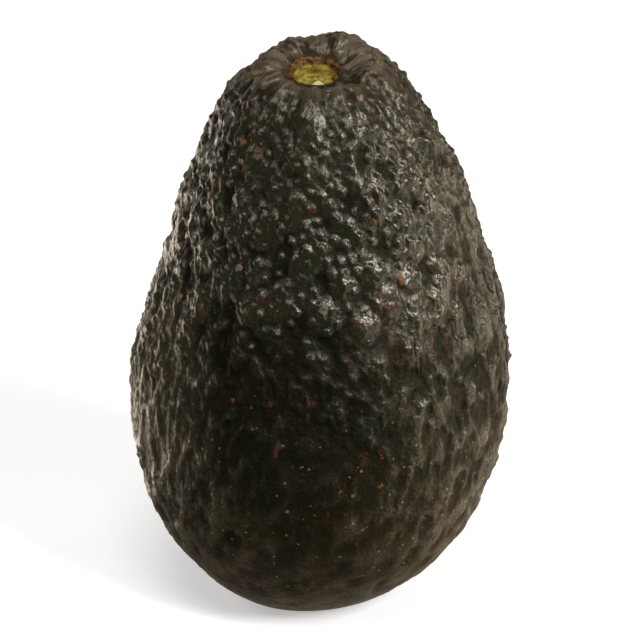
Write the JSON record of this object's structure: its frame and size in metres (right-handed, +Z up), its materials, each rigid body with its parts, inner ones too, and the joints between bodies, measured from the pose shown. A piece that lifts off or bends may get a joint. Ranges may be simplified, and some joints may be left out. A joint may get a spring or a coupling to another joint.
{
  "type": "avocado",
  "caption": "Whole dark ripe avocado with pebbled skin, a narrower neck that leans a little and a round stem scar on top, standing on a small flat spot at its blossom end.",
  "frame": {"origin": "centre of the small flat spot at the blossom end that the fruit stands on", "axes": "+Z up the fruit towards the stem scar; -Y is the front, the side that the neck and the stem scar lean to; +X is the picture's right"},
  "size_m": [0.0705, 0.07, 0.1102],
  "materials": {
    "skin": "dark olive-brown waxy rind, semi-gloss on the pebbles and duller in the valleys, with small tan and reddish corky spots",
    "stem_scar": "dry yellow-green fibrous scar with a brown corky rim, matt"
  },
  "bodies": {
    "root": {"avocado": "skin"}
  },
  "joints": []
}
